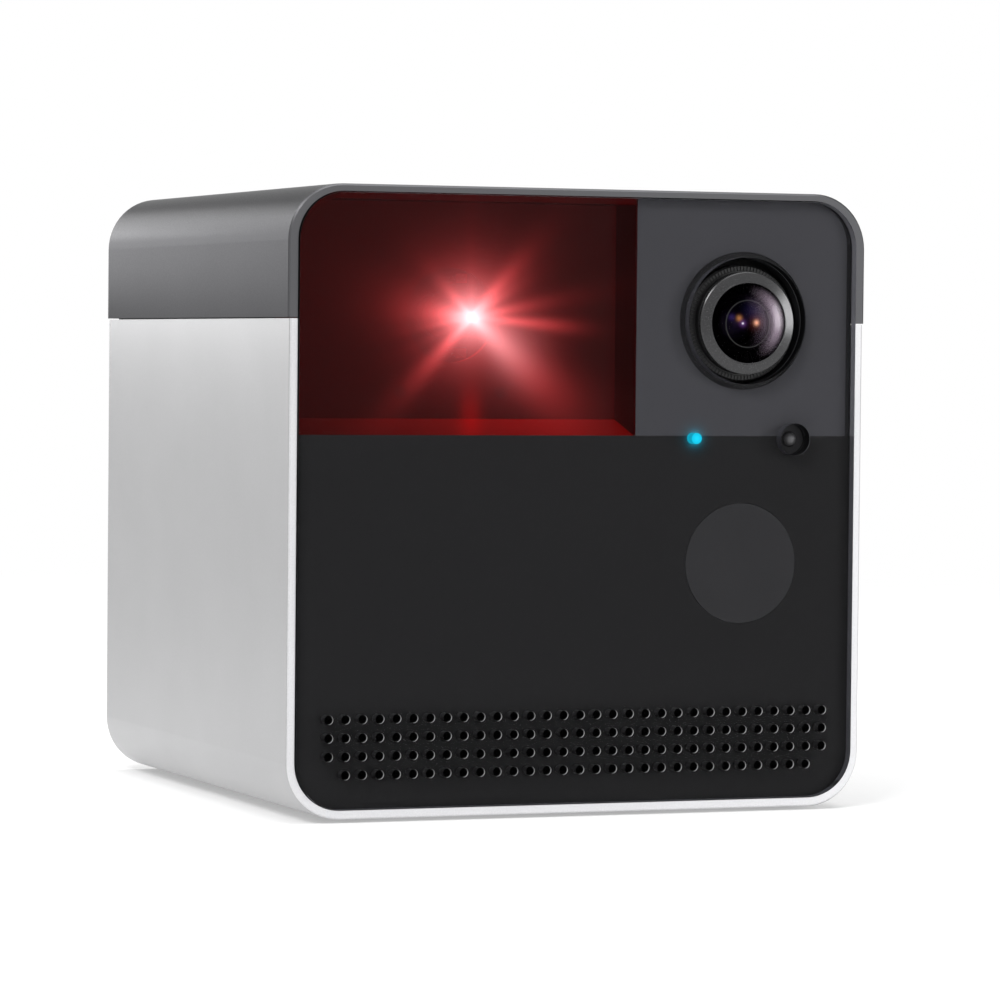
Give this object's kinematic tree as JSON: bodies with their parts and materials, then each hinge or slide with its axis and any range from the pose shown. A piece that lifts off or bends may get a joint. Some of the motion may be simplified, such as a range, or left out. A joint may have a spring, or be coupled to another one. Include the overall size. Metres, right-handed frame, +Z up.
{
  "type": "pet camera with laser pointer",
  "caption": "Cube-shaped home camera for pets with a clear front plate, a steered laser pointer, a speaker grille, a status light and a tripod socket.",
  "frame": {"origin": "middle of the footprint, on the surface that the rubber foot stands on", "axes": "+X to the object's right as seen from in front, +Y from the glass front to the back, +Z up"},
  "size_m": [0.0812, 0.0826, 0.082],
  "materials": {
    "silver_aluminium": "fine bead-blasted, clear anodised",
    "gunmetal_cap": "satin metallic grey lacquer",
    "clear_window": "polished clear plate",
    "black_print": "black ink seen through the clear plate",
    "grey_print": "charcoal grey ink seen through the clear plate",
    "red_filter": "polished deep red, see-through",
    "black_moulding": "fine moulded texture",
    "chamber_moulding": "dark moulded texture",
    "infrared_disc": "polished near-black",
    "black_rubber": "matt",
    "steel": "bright plated",
    "brass": "turned",
    "board": "green solder mask",
    "black_chip": "matt moulded",
    "lens_black": "black anodised, knurled shoulder",
    "lens_ring": "satin black, turned",
    "coated_glass": "coated, purple and orange reflections",
    "light_pipe": "clear, lit cyan",
    "emitter": "moulded lens",
    "white_nylon": "moulded nylon",
    "dust_mesh": "fine woven",
    "black_paper": "pressed paper",
    "copper": "enamelled wire",
    "polyimide": "amber film",
    "black_anodised": "black anodised fins"
  },
  "bodies": {
    "case": {"aluminium_shell": "silver_aluminium", "top_cap": "gunmetal_cap", "case_screws": "steel", "foot_pad": "black_rubber", "tripod_insert": "brass", "front_window": "clear_window", "front_mask": "black_print", "camera_mask": "grey_print", "laser_filter": "red_filter", "front_frame": "black_moulding", "ir_window": "infrared_disc", "ir_leds": "emitter", "front_board": "board", "status_light_pipe": "light_pipe", "status_led": "emitter", "sensor_boot": "black_rubber", "light_sensor": "emitter", "microphone": "steel", "lens_barrel": "lens_black", "lens_retaining_ring": "lens_ring", "lens_dome": "coated_glass", "inner_lens": "coated_glass", "lens_holder": "black_moulding", "sensor_board": "board", "image_sensor": "black_chip", "camera_ribbon": "polyimide", "laser_chamber": "chamber_moulding", "laser_bracket": "steel", "pan_bush": "brass", "pan_motor": "steel", "speaker_mesh": "dust_mesh", "speaker_box": "black_moulding", "speaker_basket": "black_moulding", "speaker_surround": "black_rubber", "speaker_magnet": "steel", "base_tray": "black_moulding", "main_board": "board", "board_screws": "steel", "bracket_screws": "steel", "processor": "black_chip", "heat_sink": "black_anodised", "shield_can": "steel", "wifi_antenna": "copper", "usb_port": "steel", "setup_switch": "black_chip", "rear_cover": "black_moulding"},
    "pan_yoke": {"pan_yoke": "black_moulding", "pan_gear": "white_nylon", "tilt_motor": "steel"},
    "tilt_cradle": {"laser_cradle": "black_moulding", "tilt_gear": "white_nylon", "laser_module": "brass", "laser_lens": "coated_glass"},
    "pan_pinion": {"pan_pinion": "white_nylon"},
    "tilt_pinion": {"tilt_pinion": "white_nylon"},
    "setup_button": {"setup_button": "black_moulding"},
    "filter_slide": {"filter_slide": "black_moulding", "filter_glass": "coated_glass"},
    "speaker_cone": {"speaker_cone": "black_paper", "voice_coil": "copper"}
  },
  "joints": [
    {"name": "laser_pan", "type": "hinge", "parent": "case", "child": "pan_yoke", "pos_m": [-0.01527, -0.0224, 0.0553], "axis": [0, 0, 1], "range_deg": [-25, 25]},
    {"name": "laser_tilt", "type": "hinge", "parent": "pan_yoke", "child": "tilt_cradle", "pos_m": [-0.01527, -0.0224, 0.06538], "axis": [1, 0, 0], "range_deg": [-10, 20]},
    {"name": "pan_pinion_turn", "type": "hinge", "parent": "case", "child": "pan_pinion", "pos_m": [-0.01527, -0.0124, 0.0553], "axis": [0, 0, 1], "range_deg": [-76, 76]},
    {"name": "tilt_pinion_turn", "type": "hinge", "parent": "pan_yoke", "child": "tilt_pinion", "pos_m": [-0.01527, -0.0144, 0.06538], "axis": [1, 0, 0], "range_deg": [-45, 23]},
    {"name": "setup_button_press", "type": "slide", "parent": "case", "child": "setup_button", "axis": [0, -1, 0], "range_m": [0, 0.0006], "stiffness_N_per_m": 600, "springref_m": -0.0004},
    {"name": "ir_filter_shift", "type": "slide", "parent": "case", "child": "filter_slide", "axis": [1, 0, 0], "range_m": [0, 0.0066]},
    {"name": "speaker_cone_travel", "type": "slide", "parent": "case", "child": "speaker_cone", "axis": [0, -1, 0], "range_m": [-0.0004, 0.0004], "stiffness_N_per_m": 1200}
  ],
  "couplings": [
    {"joint": "pan_pinion_turn", "follows": "laser_pan", "ratio": -3},
    {"joint": "tilt_pinion_turn", "follows": "laser_tilt", "ratio": -2.2}
  ]
}
